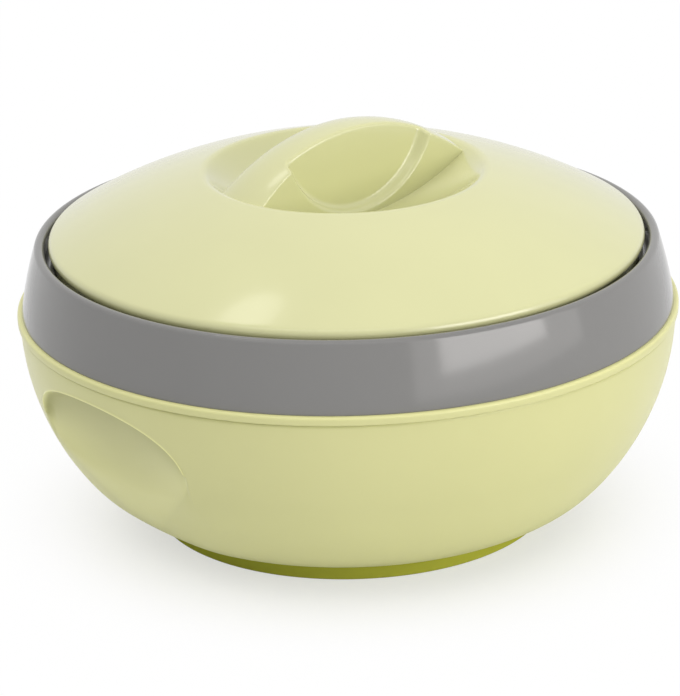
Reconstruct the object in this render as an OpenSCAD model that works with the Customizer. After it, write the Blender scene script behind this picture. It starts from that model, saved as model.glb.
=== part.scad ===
// Insulated serving bowl with a lift-off twist-lock lid.
// Frame: +Z up, origin on the table plane at the bowl's axis, X along the lid handle and the finger scoops.
// All sizes in millimetres.

/* [Outer bowl] */
// Radius of the bowl wall where it stands upright, just under the lip
bowl_r = 124; // [118:0.5:130]
// Height at which the bowl wall is upright
bowl_upright_z = 82.5; // [80:0.5:83]
// Radius of the wall's curve, seen in section
wall_arc_r = 94; // [90:1:98]
// Radius of the curve between wall and floor, seen in section
corner_arc_r = 45; // [40:1:48]
// Height of the floor's underside above the table
floor_z = 4.25; // [3:0.25:6]
// Thickness of the outer bowl's wall
bowl_wall = 2.4; // [2:0.1:2.8]
// Radius of the lip round the bowl's edge
lip_r = 125; // [124.5:0.1:126]
// Height of the lip
lip_h = 4.4; // [3.5:0.1:5]
// Height of the bowl's edge, where the collar sits
bowl_edge_z = 84; // [83.5:0.1:85]
// Outer radius of the foot ring
foot_r = 75; // [72:0.5:80]
// Thickness of the foot ring
foot_t = 3; // [2:0.1:4]

/* [Finger scoops] */
// Height of a scoop's upper edge
scoop_top_z = 74; // [70:0.5:75]
// Distance of a scoop's deepest point from the bowl's axis
scoop_floor_x = 106.5; // [106:0.25:110]
// Height of the deepest point
scoop_floor_z = 41.5; // [40:0.5:44]
// Radius of the lower curve that runs out into the bowl, seen in section
scoop_runout_r = 37; // [36:0.5:38]
// Radius of the scoop's floor, seen from above
scoop_plan_r = 250; // [200:10:400]

/* [Collar] */
// Radius of the collar's foot on the bowl's edge
collar_foot_r = 123.3; // [122.5:0.1:123.5]
// Radius to the middle of the collar's rounded rim
collar_rim_r = 115.7; // [115.5:0.1:116]
// Radius of the rim's rounding
collar_rim_round = 2; // [1.8:0.1:2.1]
// Height of the collar's rim
collar_top_z = 109.6; // [109:0.1:112]
// How far the collar's outer face bulges between foot and rim
collar_bulge = 0.4; // [0.2:0.1:0.8]
// Thickness of the collar's walls
collar_wall = 2.2; // [1.8:0.1:2.4]
// Height of the ledge that the lid's gasket closes on
ledge_z = 94.9; // [94.5:0.1:95]
// Radius of the ledge's inner edge
ledge_r = 103; // [102.5:0.1:103.2]
// Thickness of the ledge
ledge_t = 2.6; // [2.4:0.1:2.8]

/* [Inner bowl] */
// Inner radius of the steel bowl at its mouth
liner_r = 101; // [98:0.5:101.5]
// Radius of the curve between its wall and floor
liner_arc_r = 55; // [45:1:60]
// Height of its floor, inside
liner_floor_z = 17; // [16:0.5:24]
// Thickness of the steel
liner_wall = 0.8; // [0.5:0.1:1]

/* [Lid] */
// Radius of the dome's sphere
dome_r = 218.75; // [215:0.25:225]
// Height that the dome would reach on the axis
dome_top_z = 142.25; // [140:0.25:144]
// Outer radius of the lid
lid_r = 112.2; // [111.8:0.1:112.4]
// Radius of the lid's rounded edge
lid_edge_round = 3.2; // [2.6:0.1:3.6]
// Thickness of the lid's wall
lid_wall = 2.4; // [2:0.1:2.6]
// Radius of the hand well's sphere
well_r = 89; // [86:1:94]
// Height of the hand well's lowest point
well_floor_z = 118.2; // [117.6:0.1:119]
// Radius of the rounded edge between dome and hand well
well_rim_round = 4; // [2:0.5:5]

/* [Handle] */
// Height of the handle's long edges, at the middle
handle_edge_z = 151.5; // [150:0.5:154]
// Radius of the handle's arch along those edges
handle_arch_r = 80; // [76:0.5:84]
// How far the handle's back is crowned above its edges
handle_crown = 1.4; // [1:0.1:2]
// Width of the handle at the middle, without the finger pocket
handle_w = 18.4; // [17.6:0.2:20]
// Radius of the handle's waisted sides, seen from above
handle_waist_r = 500; // [400:50:700]
// Radius of the round finger pocket in the near side
pocket_r = 34.6; // [33:0.2:36]
// Height of the pocket's lowest point
pocket_floor_z = 121.6; // [121:0.2:123]
// Depth of the pocket at the handle's middle
pocket_depth = 3.5; // [3:0.1:4]

/* [Bayonet lock] */
// Number of lugs on the lid, and of catches on the collar
lug_count = 4; // [3:1:4]
// Angle that each lug and each catch spans, in degrees
lug_span = 30; // [24:1:32]
// How far the lid turns to lock, in degrees
lock_turn = 38; // [34:1:40]

/* [Hidden] */
$fn = 96;

lime = [0.84, 0.84, 0.58];
grey = [0.52, 0.52, 0.50];
steel = [0.78, 0.78, 0.77];
foam = [0.93, 0.89, 0.72];
silicone = [0.88, 0.89, 0.88];
white = [0.93, 0.93, 0.91];

// A tool that cuts through a face stands this far proud of it
eps = 1;
// Room between a seated piece and its neighbour in one body
seat_gap = 0.3;

// Outer bowl: the corner curve is tangent to the wall curve and to the floor
wall_c = [bowl_r - wall_arc_r, bowl_upright_z];
corner_z = floor_z + corner_arc_r;
corner_c = [wall_c.x + sqrt(pow(wall_arc_r - corner_arc_r, 2) - pow(wall_c.y - corner_z, 2)), corner_z];
seam_far = corner_c + 2 * (corner_c - wall_c);
lip_round = 1.2;
lip_low_z = bowl_edge_z - lip_h;
bowl_in_r = bowl_r - bowl_wall;
foot_round = 0.8;

// Caps of the foam holes in the base and in the lid's liner
plug_r = 13;
plug_gap = 0.15;
plug_flange_r = 16;
plug_t = 2;

// Finger scoop: a hook curve above the deepest point, a run-out curve below it
scoop_edge_x = wall_c.x + sqrt(pow(wall_arc_r, 2) - pow(wall_c.y - scoop_top_z, 2));
scoop_rise = scoop_top_z - scoop_floor_z;
scoop_reach = scoop_edge_x - scoop_floor_x;
scoop_hook_r = (pow(scoop_rise, 2) + pow(scoop_reach, 2)) / (2 * scoop_reach);
scoop_span = 30;
scoop_low_z = 6;
scoop_low_x = 84.5;

// Collar: the outer face is an arc through its foot and its rim
rim_c = [collar_rim_r, collar_top_z - collar_rim_round];
face_low = [collar_foot_r, bowl_edge_z];
face_high = [collar_rim_r + collar_rim_round, rim_c.y];
face_chord = norm(face_high - face_low);
face_r = pow(face_chord, 2) / (8 * collar_bulge) + collar_bulge / 2;
face_dir = (face_high - face_low) / face_chord;
face_c = (face_low + face_high) / 2 + (face_r - collar_bulge) * [-face_dir.y, face_dir.x];
// The face's band ends inside the rim's rounding
face_lap = collar_rim_round / 4;
collar_in_r = collar_rim_r - collar_rim_round;
ledge_low_z = ledge_z - ledge_t;

// The collar's spigot stands in the bowl's edge, where its bead snaps into a groove
spigot_low_z = 76;
spigot_gap = 0.5;
spigot_r = bowl_in_r - spigot_gap;
spigot_t = 2;
snap_z = 81.6;
snap_r = 0.9;
snap_slack = 0.2;

// Steel bowl and its seal under the ledge
liner_edge_z = ledge_low_z - seat_gap;
liner_hem_r = 110.2;
liner_hem_h = 3.5;
liner_arc_c = [liner_r - liner_arc_r, liner_floor_z + liner_arc_r];
seal_r = 110;
seal_w = 2;
seal_h = 1.4;
seal_gap = 0.1;
foam_top_z = liner_edge_z - liner_hem_h - seat_gap;

// Lid: the rounded edge is tangent to the dome, the well's rounded rim to the dome and to the well
dome_c = [0, dome_top_z - dome_r];
edge_x = lid_r - lid_edge_round;
edge_c = [edge_x, dome_c.y + sqrt(pow(dome_r - lid_edge_round, 2) - pow(edge_x, 2))];
edge_far = edge_c + (edge_c - dome_c) / 4;
well_c = [0, well_floor_z + well_r];
well_rise = well_c.y - dome_c.y;
well_rim_h = (pow(dome_r - well_rim_round, 2) - pow(well_r + well_rim_round, 2) + pow(well_rise, 2))
             / (2 * well_rise);
well_rim_c = [sqrt(pow(dome_r - well_rim_round, 2) - pow(well_rim_h, 2)), dome_c.y + well_rim_h];
rim_far_out = well_rim_c + (well_rim_c - dome_c) / 4;
rim_far_in = well_rim_c + (well_c - well_rim_c) / 4;
skirt_r = 109.9;
skirt_t = 2.2;
skirt_low_z = 95.5;
liner_seat_z = 100.8;
liner_seat_r = 105.5;
cup_low_z = 93;
cup_t = 2;
cup_rim_r = 103.3;
cup_flat_r = 96;
cup_chamfer = 1;
flange_t = 1.5;
gasket_low_z = ledge_z + seat_gap;
gasket_top_z = liner_seat_z - flange_t - seat_gap;
gasket_bead_r = 1.2;

// Handle: an arched, crowned bar that stands in the well
arch_c_z = handle_edge_z - handle_arch_r;
crown_r = (pow(handle_w / 2, 2) + pow(handle_crown, 2)) / (2 * handle_crown);
handle_low_z = 112;
handle_reach = 64;
pocket_c_z = pocket_floor_z + pocket_r;
handle_skin = 2.4;
handle_rib_t = 2;
handle_rib_step = 22;

// Bayonet lock: lugs on the lid's skirt pass between the collar's catches, then turn under them
lug_r = 112.8;
lug_low_z = 96;
lug_top_z = 99.5;
catch_r = 110.7;
catch_low_z = 100.2;
catch_top_z = 103.2;
lug_pitch = 360 / lug_count;
stop_span = 3;
stop_gap = 1;
stop_r = 111.1;

// The part of a disc that lies inside an outline
module slice(c, r, outline) {
    intersection() {
        translate(c)
            circle(r);
        polygon(outline);
    }
}

// A quarter of a disc: to the right of its centre, and above it (1) or below it (-1)
module quarter(c, r, side) {
    slice(c, r, [c, c + [2 * r, 0], c + [2 * r, side * 2 * r], c + [0, side * 2 * r]]);
}

// Half of the bowl's section, drawn in by an even amount, up to a given height
module bowl_section(inset, top_z) {
    slice(wall_c, wall_arc_r - inset, [wall_c, corner_c, seam_far, [seam_far.x + bowl_r, wall_c.y]]);
    slice(corner_c, corner_arc_r - inset, [corner_c, seam_far, [corner_c.x, seam_far.y]]);
    polygon([[0, floor_z + inset], [corner_c.x, floor_z + inset], corner_c, wall_c, [0, wall_c.y]]);
    translate([0, wall_c.y])
        square([bowl_r - inset, top_z - wall_c.y]);
}

// A bar of the section with rounded ends, for the lip and the foot
module rounded_bar(low, size, round) {
    translate(low + [0, round])
        square([size.x, size.y - 2 * round]);
    translate(low + [round, 0])
        square([size.x - 2 * round, size.y]);
    for (x = [round, size.x - round], y = [round, size.y - round])
        translate(low + [x, y])
            circle(round);
}

// The space of both finger scoops, grown by an even amount
module scoops(grow) {
    axis_x = scoop_floor_x + scoop_plan_r;
    for (side = [0, 180])
        rotate([0, 0, side])
            translate([axis_x, 0, 0])
                rotate([0, 0, 180 - scoop_span / 2])
                    rotate_extrude(angle = scoop_span)
                        scoop_section(axis_x, grow);
}

module scoop_section(axis_x, grow) {
    hook_x = axis_x - scoop_floor_x - scoop_hook_r;
    runout_x = axis_x - scoop_floor_x + scoop_runout_r;
    intersection() {
        translate([hook_x, scoop_floor_z])
            circle(scoop_hook_r + grow);
        translate([hook_x, scoop_floor_z])
            square(2 * scoop_hook_r);
    }
    difference() {
        translate([hook_x, scoop_low_z])
            square([axis_x - scoop_low_x - hook_x, scoop_floor_z - scoop_low_z]);
        translate([runout_x, scoop_floor_z])
            circle(scoop_runout_r - grow);
    }
}

// The bowl's shape with its scoops, drawn in by an even amount
module scooped_bowl(inset, top_z) {
    difference() {
        rotate_extrude()
            bowl_section(inset, top_z);
        scoops(inset);
    }
}

module outer_bowl() {
    color(lime)
        difference() {
            union() {
                scooped_bowl(0, bowl_edge_z);
                rotate_extrude()
                    rounded_bar([bowl_in_r - eps, lip_low_z], [lip_r - bowl_in_r + eps, lip_h], lip_round);
                rotate_extrude()
                    rounded_bar([foot_r - foot_t, 0], [foot_t, floor_z + bowl_wall + eps], foot_round);
            }
            scooped_bowl(bowl_wall, bowl_edge_z + eps);
            rotate_extrude()
                translate([bowl_in_r - snap_slack, snap_z])
                    circle(snap_r);
            translate([0, 0, floor_z - eps])
                cylinder(r = plug_r, h = bowl_wall + 2 * eps);
        }
}

module bowl_foam() {
    color(foam)
        difference() {
            intersection() {
                scooped_bowl(bowl_wall + seat_gap, foam_top_z + eps);
                cylinder(r = spigot_r - spigot_t - seat_gap, h = foam_top_z);
            }
            rotate_extrude()
                liner_section(liner_wall + seat_gap, foam_top_z + eps);
            translate([0, 0, floor_z])
                cylinder(r = plug_flange_r + seat_gap, h = bowl_wall + plug_t + 2 * seat_gap);
        }
}

// Half of the steel bowl's inside, grown by an even amount
module liner_section(grow, top_z) {
    quarter(liner_arc_c, liner_arc_r + grow, -1);
    translate([0, liner_floor_z - grow])
        square([liner_arc_c.x, liner_arc_r + grow]);
    translate([0, liner_arc_c.y])
        square([liner_r + grow, top_z - liner_arc_c.y]);
}

module inner_bowl() {
    color(steel)
        rotate_extrude()
            difference() {
                union() {
                    liner_section(liner_wall, liner_edge_z);
                    translate([0, liner_edge_z - liner_wall])
                        square([liner_hem_r, liner_wall]);
                    translate([liner_hem_r - liner_wall, liner_edge_z - liner_hem_h])
                        square([liner_wall, liner_hem_h]);
                }
                liner_section(0, liner_edge_z + eps);
            }
}

// The collar's outer wall: a band of the face's arc
module collar_face() {
    intersection() {
        difference() {
            translate(face_c)
                circle(face_r);
            translate(face_c)
                circle(face_r - collar_wall);
        }
        translate([face_high.x - 2 * collar_wall, face_low.y])
            square([face_low.x - face_high.x + 3 * collar_wall, face_high.y - face_low.y + face_lap]);
    }
}

module collar_section() {
    collar_face();
    translate(rim_c)
        circle(collar_rim_round);
    translate([collar_in_r, ledge_low_z])
        square([collar_wall, rim_c.y - ledge_low_z]);
    translate([ledge_r, ledge_low_z])
        square([collar_in_r - ledge_r + collar_wall, ledge_z - ledge_low_z]);
    translate([spigot_r - spigot_t, spigot_low_z])
        square([spigot_t, bowl_edge_z - spigot_low_z + collar_wall]);
    translate([spigot_r - spigot_t, bowl_edge_z])
        square([collar_foot_r - collar_wall / 2 - spigot_r + spigot_t, collar_wall]);
    translate([bowl_in_r - 2 * snap_slack, snap_z])
        circle(snap_r - snap_slack);
}

module ring_sector(r0, r1, z0, z1, a0, span) {
    rotate([0, 0, a0])
        rotate_extrude(angle = span)
            translate([r0, z0])
                square([r1 - r0, z1 - z0]);
}

// A catch, and at its far end the stop that a locked lug comes to
module catches() {
    for (i = [0 : lug_count - 1]) {
        middle = (i + 0.5) * lug_pitch;
        stop_a = i * lug_pitch + lug_pitch - lug_span / 2 - lock_turn - stop_gap - stop_span;
        ring_sector(catch_r, collar_in_r + eps, catch_low_z, catch_top_z, middle - lug_span / 2, lug_span);
        ring_sector(stop_r, collar_in_r + eps, lug_low_z, catch_low_z + eps, stop_a, stop_span);
    }
}

module collar_ring() {
    color(grey) {
        difference() {
            rotate_extrude()
                collar_section();
            rotate_extrude()
                translate([seal_r - seal_w / 2 - seal_gap, ledge_low_z - eps])
                    square([seal_w + 2 * seal_gap, liner_edge_z + seal_h + seal_gap - ledge_low_z + eps]);
        }
        catches();
    }
}

module rim_seal() {
    color(silicone)
        rotate_extrude()
            translate([seal_r - seal_w / 2, liner_edge_z])
                square([seal_w, seal_h]);
}

module base_plug() {
    color(lime)
        translate([0, 0, floor_z]) {
            cylinder(r = plug_r - plug_gap, h = bowl_wall);
            translate([0, 0, bowl_wall])
                cylinder(r = plug_flange_r, h = plug_t);
        }
}

module lid_gasket() {
    r0 = cup_rim_r + seat_gap;
    r1 = skirt_r - skirt_t - seat_gap;
    color(silicone)
        rotate_extrude() {
            translate([r0, gasket_low_z + gasket_bead_r])
                square([r1 - r0, gasket_top_z - gasket_low_z - gasket_bead_r]);
            translate([(r0 + r1) / 2, gasket_low_z + gasket_bead_r])
                circle(gasket_bead_r);
        }
}

// Half of the solid lid's section: hand well with its rounded rim, dome, rounded edge and skirt
module lid_section() {
    difference() {
        polygon([[0, edge_c.y], [well_rim_c.x, edge_c.y], well_rim_c, rim_far_in, [0, rim_far_in.y]]);
        translate(well_c)
            circle(well_r);
    }
    slice(well_rim_c, well_rim_round, [well_rim_c, rim_far_out, rim_far_in]);
    slice(dome_c, dome_r, [[well_rim_c.x, edge_c.y], edge_c, edge_far, rim_far_out, well_rim_c]);
    slice(edge_c, lid_edge_round, [edge_c, edge_far, [edge_far.x, edge_c.y]]);
    quarter(edge_c, lid_edge_round, -1);
    translate([0, skirt_low_z])
        square([skirt_r, edge_c.y - skirt_low_z]);
}

// Half of the space under the dome and round the well, drawn in by an even amount, above a given height
module under_dome(inset, low_z, out_r) {
    difference() {
        intersection() {
            translate(dome_c)
                circle(dome_r - inset);
            translate([0, low_z])
                square([out_r, dome_top_z - low_z]);
        }
        translate(well_c)
            circle(well_r + inset);
    }
}

// Half of the lid's hollow: the space under the dome and the two bores of the skirt
module lid_hollow_section() {
    under_dome(lid_wall, skirt_low_z - eps, liner_seat_r);
    translate([0, skirt_low_z - eps])
        square([skirt_r - skirt_t, liner_seat_z - skirt_low_z + eps]);
}

// The handle's block: waisted from above, arched from the side, crowned across, drawn in by two amounts
module handle_bar(side_inset, top_inset) {
    intersection() {
        translate([0, 0, handle_low_z])
            linear_extrude(handle_edge_z + handle_crown + eps - handle_low_z)
                handle_plan(side_inset);
        translate([0, 0, arch_c_z])
            rotate([90, 0, 0])
                rotate_extrude($fn = 180)
                    arch_section(top_inset);
    }
}

module handle_plan(inset) {
    difference() {
        square([2 * (handle_reach - inset), 3 * handle_w], center = true);
        for (side = [-1, 1])
            translate([0, side * (handle_w / 2 - inset + handle_waist_r)])
                circle(handle_waist_r, $fn = 720);
    }
}

module arch_section(inset) {
    top = handle_arch_r + handle_crown - inset;
    intersection() {
        translate([top - crown_r, 0])
            circle(crown_r);
        translate([top - crown_r, -crown_r])
            square([crown_r, 2 * crown_r]);
    }
    translate([0, -crown_r])
        square([top - crown_r, 2 * crown_r]);
}

// The round pocket in the handle's near side
module pocket() {
    translate([0, pocket_depth - handle_w, pocket_c_z])
        rotate([90, 0, 0])
            cylinder(r = pocket_r, h = handle_w, center = true);
}

// The hollow inside the handle, open to the space under the dome, with cross ribs left standing
module handle_hollow() {
    difference() {
        handle_bar(handle_skin + pocket_depth, handle_skin);
        for (x = [-1, 0, 1])
            translate([x * handle_rib_step - handle_rib_t / 2, -handle_w, well_floor_z])
                cube([handle_rib_t, 2 * handle_w, handle_edge_z]);
    }
}

module lugs() {
    for (i = [0 : lug_count - 1])
        ring_sector(skirt_r - eps, lug_r, lug_low_z, lug_top_z, i * lug_pitch - lug_span / 2, lug_span);
}

module lid_dome() {
    color(lime) {
        difference() {
            union() {
                rotate_extrude()
                    lid_section();
                difference() {
                    handle_bar(0, 0);
                    pocket();
                }
            }
            rotate_extrude()
                lid_hollow_section();
            handle_hollow();
        }
        lugs();
    }
}

module lid_foam() {
    inset = lid_wall + seat_gap;
    color(foam)
        difference() {
            rotate_extrude() {
                under_dome(inset, cup_low_z + cup_t + seat_gap, cup_flat_r - seat_gap);
                under_dome(inset, skirt_low_z + cup_t + seat_gap, cup_rim_r - cup_t - seat_gap);
            }
            translate([0, 0, cup_low_z])
                cylinder(r = plug_flange_r + seat_gap, h = cup_t + plug_t + 2 * seat_gap);
        }
}

// The lid's inner cup: a shallow pan with an upright rim and the flange that roofs the gasket's channel
module lid_liner() {
    rise = skirt_low_z - cup_low_z;
    color(white)
        difference() {
            rotate_extrude() {
                translate([0, cup_low_z])
                    square([cup_flat_r, cup_t]);
                polygon([[cup_flat_r, cup_low_z], [cup_rim_r - cup_chamfer, cup_low_z + rise],
                         [cup_rim_r, cup_low_z + rise + cup_chamfer], [cup_rim_r, liner_seat_z],
                         [cup_rim_r - cup_t, liner_seat_z], [cup_rim_r - cup_t, cup_low_z + rise + cup_t],
                         [cup_flat_r, cup_low_z + cup_t]]);
                translate([cup_rim_r - cup_t, liner_seat_z - flange_t])
                    square([skirt_r - skirt_t - seat_gap - cup_rim_r + cup_t, flange_t]);
            }
            translate([0, 0, cup_low_z - eps])
                cylinder(r = plug_r, h = cup_t + 2 * eps);
        }
}

module lid_plug() {
    color(white)
        translate([0, 0, cup_low_z]) {
            cylinder(r = plug_r - plug_gap, h = cup_t);
            translate([0, 0, cup_t])
                cylinder(r = plug_flange_r, h = plug_t);
        }
}

outer_bowl();
bowl_foam();
inner_bowl();
collar_ring();
rim_seal();
base_plug();
lid_gasket();
lid_dome();
lid_foam();
lid_liner();
lid_plug();
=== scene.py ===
"""Looks of the insulated lunch box: moulded shells, steel bowl and twist-lock lid around the CAD frame."""

import functools
import math

import bmesh
import bpy
import numpy as np
from mathutils import Matrix, Vector


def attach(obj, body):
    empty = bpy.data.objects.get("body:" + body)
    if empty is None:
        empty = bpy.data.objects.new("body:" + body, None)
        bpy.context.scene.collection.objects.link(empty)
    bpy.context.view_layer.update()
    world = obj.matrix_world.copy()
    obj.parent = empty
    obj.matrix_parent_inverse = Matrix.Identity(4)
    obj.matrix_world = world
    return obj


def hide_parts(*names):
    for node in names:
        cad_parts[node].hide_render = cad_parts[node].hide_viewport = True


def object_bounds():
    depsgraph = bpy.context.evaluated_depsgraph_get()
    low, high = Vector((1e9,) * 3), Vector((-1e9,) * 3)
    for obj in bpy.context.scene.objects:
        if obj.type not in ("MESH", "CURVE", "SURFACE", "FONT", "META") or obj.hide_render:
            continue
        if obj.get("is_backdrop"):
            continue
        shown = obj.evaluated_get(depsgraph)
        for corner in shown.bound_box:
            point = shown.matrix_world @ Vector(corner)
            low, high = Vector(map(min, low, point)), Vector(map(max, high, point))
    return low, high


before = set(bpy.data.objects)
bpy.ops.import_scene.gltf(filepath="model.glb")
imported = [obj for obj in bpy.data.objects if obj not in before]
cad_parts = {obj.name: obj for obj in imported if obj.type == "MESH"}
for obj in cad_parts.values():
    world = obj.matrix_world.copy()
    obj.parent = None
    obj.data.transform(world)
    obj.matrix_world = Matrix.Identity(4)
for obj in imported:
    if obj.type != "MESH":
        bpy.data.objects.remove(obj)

bl_info = {
    "name": "Insulated lunch box",
    "version": (1, 0, 0),
    "blender": (4, 5, 0),
    "location": "View3D > Sidebar > Lunch box",
    "description": "Builds the lunch box's shells, steel bowl and twist-lock lid around the CAD frame",
    "category": "Object",
}

CAD_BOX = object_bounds()
MM = 0.001
MERGE_DISTANCE = 2e-6

# Sections are drawn as radius and height above the table, in millimetres, as the CAD draws them, apart from
# small detail: the lip's lower edge is 1.2 mm higher here, and the scoops and the foot are finer.
# Outer bowl
WALL_C, WALL_R = np.array([30.0, 82.5]), 94.0
CORNER_R, FLOOR_Z, BOWL_WALL = 45.0, 4.25, 2.4
CORNER_Z = FLOOR_Z + CORNER_R
CORNER_C = np.array([
    WALL_C[0] + math.sqrt((WALL_R - CORNER_R) ** 2 - (WALL_C[1] - CORNER_Z) ** 2), CORNER_Z])
BOWL_EDGE_Z, LIP_LOW_Z, LIP_GROOVE_H, LIP_GROOVE_DEPTH = 84.0, 80.8, 0.6, 0.5
FOOT_R, FOOT_T, FOOT_JOIN_R = 75.0, 3.0, 77.5
# The underside stands a little above the CAD's beside the foot ring
FOOT_LIFT, FOOT_LIFT_TOP_Z, FOOT_LIFT_H = 1.3, 24.0, 18.0
# Finger scoop: a hook curve above its deepest point, a run-out below it, both turned about an outer axis
SCOOP_TOP_Z, SCOOP_FLOOR_Z, SCOOP_RUNOUT_R, SCOOP_PLAN_R = 74.0, 41.5, 37.0, 250.0
SCOOP_SOFT_Z, SCOOP_SOFT_H, SCOOP_WALL = 30.0, 16.0, 2.5
# Widest angle at which a scoop is looked for, as a cosine, and the heights that are searched for its edges
SCOOP_COS, SCAN_LOW_Z, SCAN_HIGH_Z, SCAN_STEP = 0.85, 12.0, 78.0, 0.05
# A scoop's upper edge, measured along the wall: ridge, hollow under it, painted highlight line and painted
# shade
RIDGE_W, HOLLOW_REACH, PAINTED_LINE_W, PAINTED_SHADE_REACH, RUNOUT_PAINTED_LIGHT = 0.6, 3.2, 0.5, 0.4, 2.7
# Heights of the cut from which ridge, hollow and the painted highlight and shade have their full strength
RIDGE_FULL, HOLLOW_FULL, PAINTED_SHADING_FULL = 4.0, 16.0, 6.0
# Painted light and shade on the bowl: its strength, and how much paler it is painted low on the wall and on
# the lip's edge
PAINTED_SHADING_STRENGTH, LOW_PAINTED_LIGHT, LOW_PAINTED_LIGHT_TOP_Z, LOW_PAINTED_LIGHT_H = 0.33, 0.25, 45.0, 30.0
LIP_PAINTED_HIGHLIGHT, LIP_PAINTED_HIGHLIGHT_LOW_Z, LIP_PAINTED_HIGHLIGHT_H = 0.5, BOWL_EDGE_Z - 1.2, 0.8
# The foot ring's deep tone, partly its thick plastic and partly painted shade, fades out upwards between two
# heights and inwards between two radii
FOOT_TONE_LOW_Z, FOOT_TONE_HIGH_Z = 6.2, 8.2
FOOT_TONE_IN_R, FOOT_TONE_OUT_R = FOOT_R - FOOT_T - 2.5, FOOT_R - FOOT_T - 0.5
# Points along the outer section's two arcs
CORNER_POINTS, WALL_POINTS = 400, 800
# Rows of the wall's mesh below, within and above a scoop, how they draw together, and its columns in degrees
ROWS, ROW_DRAW, LEAST_HALF, PLAIN_HALF, SPREAD_DEG = (40, 44, 26), 1.8, 1.5, 11.0, 15.0
FINE_DEG, FINE_STEP, COARSE_STEP = 22.0, 0.3, 2.2
# Caps on the foam holes
PLUG_R, PLUG_GAP, PLUG_FLANGE_R, PLUG_T = 13.0, 0.15, 16.0, 2.0
DISH_R, DISH_RIM_R, DISH_DEPTH, CAP_STEPS = 8.0, 8.8, 0.5, 96
# Collar
COLLAR_FOOT = np.array([123.3, 84.0])
RIM_C, RIM_R = np.array([115.7, 107.6]), 2.0
FACE_R, COLLAR_WALL, COLLAR_IN_R = 184.0, 2.2, 113.7
LEDGE_Z, LEDGE_LOW_Z, LEDGE_R, LEDGE_ROOT_R, SHELF_Z = 94.9, 92.3, 103.0, 115.9, 86.2
SPIGOT_R, SPIGOT_T, SPIGOT_LOW_Z = 121.1, 2.0, 76.0
# Steel bowl
STEEL_R, STEEL_ARC_R, STEEL_FLOOR_Z, STEEL_T, STEEL_EDGE_Z = 101.0, 55.0, 17.0, 0.8, 92.0
STEEL_HEM_R, STEEL_HEM_H = 110.2, 3.5
# Lid
DOME_C, DOME_R = np.array([0.0, -76.5]), 218.75
LID_R, EDGE_R, LID_WALL = 112.2, 3.2, 2.4
WELL_C, WELL_R = np.array([0.0, 207.2]), 89.0
SKIRT_R, SKIRT_T, SKIRT_LOW_Z = 109.9, 2.2, 95.5
SEAT_Z, SEAT_R = 100.8, 105.5
CUP_LOW_Z, CUP_T, CUP_RIM_R, CUP_FLAT_R, CUP_FLANGE_R, FLANGE_T = 93.0, 2.0, 103.3, 96.0, 107.4, 1.5
GASKET_IN_R, GASKET_OUT_R, GASKET_LOW_Z, GASKET_HIGH_Z, BEAD_R = 103.6, 107.4, 96.4, 99.0, 1.2
# Handle
ARCH_Z, ARCH_R, CROWN = 71.5, 80.0, 1.4
HANDLE_HALF_W, WAIST_R = 9.2, 500.0
CROWN_R = (HANDLE_HALF_W ** 2 + CROWN ** 2) / (2 * CROWN)
POCKET_R, POCKET_Z, POCKET_DEPTH, POCKET_DRAFT, DRAFT_MOST = 34.6, 156.2, 3.5, 0.4, 0.7
HANDLE_LOW, HANDLE_HIGH, HANDLE_CELL = (-56, -14, 116), (56, 14, 157), 0.42
# Bayonet; a bar's ends draw in by a share of its height
LUG_COUNT, LUG_SPAN, END_DROP = 4, 30.0, 0.45
LUG_ROOT_R, LUG_R, LUG_LOW_Z, LUG_HIGH_Z = 109.0, 112.8, 96.0, 99.5
CATCH_ROOT_R, CATCH_R, CATCH_LOW_Z, CATCH_HIGH_Z, CATCH_AT = 114.6, 110.7, 100.2, 103.2, 45.0
STOP_R, STOP_LOW_Z, STOP_HIGH_Z, STOP_SPAN, STOP_AT = 111.1, 96.0, 101.2, 3.0, 34.5


class LunchBoxSizes(bpy.types.PropertyGroup):
    """Sizes that shape the moulded detail."""

    scoop_floor: bpy.props.FloatProperty(
        name="Scoop floor", description="Distance of a finger scoop's deepest point from the bowl's axis",
        default=106.5 * MM, min=106.0 * MM, max=112.0 * MM, unit="LENGTH")
    scoop_edge: bpy.props.FloatProperty(
        name="Scoop edge", description="Softness of a scoop's upper edge",
        default=1.3 * MM, min=0.5 * MM, max=4.0 * MM, unit="LENGTH")
    scoop_ridge: bpy.props.FloatProperty(
        name="Scoop ridge", description="Height of the fine ridge along a scoop's upper edge",
        default=0.5 * MM, min=0.0, max=1.0 * MM, unit="LENGTH")
    scoop_undercut: bpy.props.FloatProperty(
        name="Scoop undercut", description="How far the scoop is hollowed out under its upper edge",
        default=2.0 * MM, min=0.0, max=2.2 * MM, unit="LENGTH")
    scoop_fade: bpy.props.FloatProperty(
        name="Scoop fade", description="Softness of a scoop's lower boundary, where it runs out",
        default=9.0 * MM, min=2.0 * MM, max=10.0 * MM, unit="LENGTH")
    well_rim: bpy.props.FloatProperty(
        name="Well rim", description="Radius of the rounded edge between dome and hand well",
        default=4.0 * MM, min=1.0 * MM, max=6.0 * MM, unit="LENGTH")
    handle_edge: bpy.props.FloatProperty(
        name="Handle edge", description="Radius of the handle's long edges",
        default=0.4 * MM, min=0.3 * MM, max=3.0 * MM, unit="LENGTH")
    pocket_edge: bpy.props.FloatProperty(
        name="Pocket edge", description="Radius of the finger pocket's edges",
        default=1.3 * MM, min=0.2 * MM, max=1.5 * MM, unit="LENGTH")
    turn_steps: bpy.props.IntProperty(
        name="Turning steps", description="Steps round the axis in the turned pieces",
        default=256, min=64, max=512)


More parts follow.
